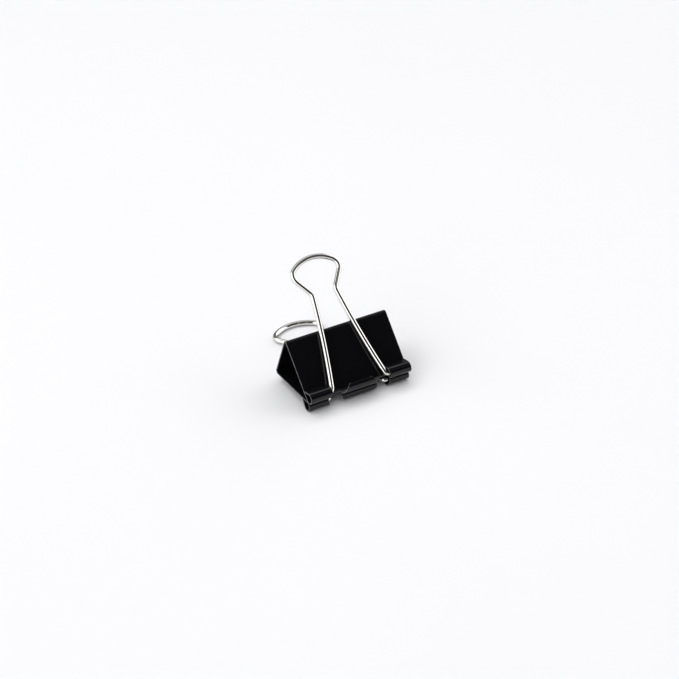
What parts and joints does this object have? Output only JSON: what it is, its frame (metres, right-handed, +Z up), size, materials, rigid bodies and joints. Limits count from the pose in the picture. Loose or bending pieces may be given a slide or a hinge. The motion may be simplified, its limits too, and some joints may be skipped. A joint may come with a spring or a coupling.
{
  "type": "binder clip",
  "caption": "Spring-steel binder clip with rolled jaw edges and two folding wire loop handles, lying on one side.",
  "frame": {"origin": "middle of the underside of the clip's box, on the table it lies on", "axes": "+X along the jaws, +Y from the jaws towards the spine and the loops of the folded-back handles, +Z up from the table"},
  "size_m": [0.041, 0.0528, 0.04],
  "materials": {
    "black_paint": "gloss black stoved paint on spring steel",
    "nickel_wire": "bright nickel plate on steel wire"
  },
  "bodies": {
    "lower_side": {"lower_side": "black_paint"},
    "spine": {"spine": "black_paint"},
    "upper_side": {"upper_side": "black_paint"},
    "lower_handle": {"lower_handle": "nickel_wire"},
    "upper_handle": {"upper_handle": "nickel_wire"}
  },
  "joints": [
    {"name": "lower_bend", "type": "hinge", "parent": "lower_side", "child": "spine", "pos_m": [0, -0.00048, 0.00307], "axis": [-1, 0, 0], "range_deg": [0, 20], "stiffness_Nm_per_rad": 2},
    {"name": "upper_bend", "type": "hinge", "parent": "spine", "child": "upper_side", "pos_m": [0, -0.00704, 0.02019], "axis": [-1, 0, 0], "range_deg": [0, 20], "stiffness_Nm_per_rad": 2},
    {"name": "lower_handle_pivot", "type": "hinge", "parent": "lower_side", "child": "lower_handle", "pos_m": [0, -0.02277, 0.0021], "axis": [-1, 0, 0], "range_deg": [0, 157]},
    {"name": "upper_handle_pivot", "type": "hinge", "parent": "upper_side", "child": "upper_handle", "pos_m": [0, -0.02427, 0.00602], "axis": [1, 0, 0], "range_deg": [0, 157]}
  ],
  "couplings": [
    {"joint": "upper_bend", "follows": "lower_bend", "ratio": 1}
  ]
}
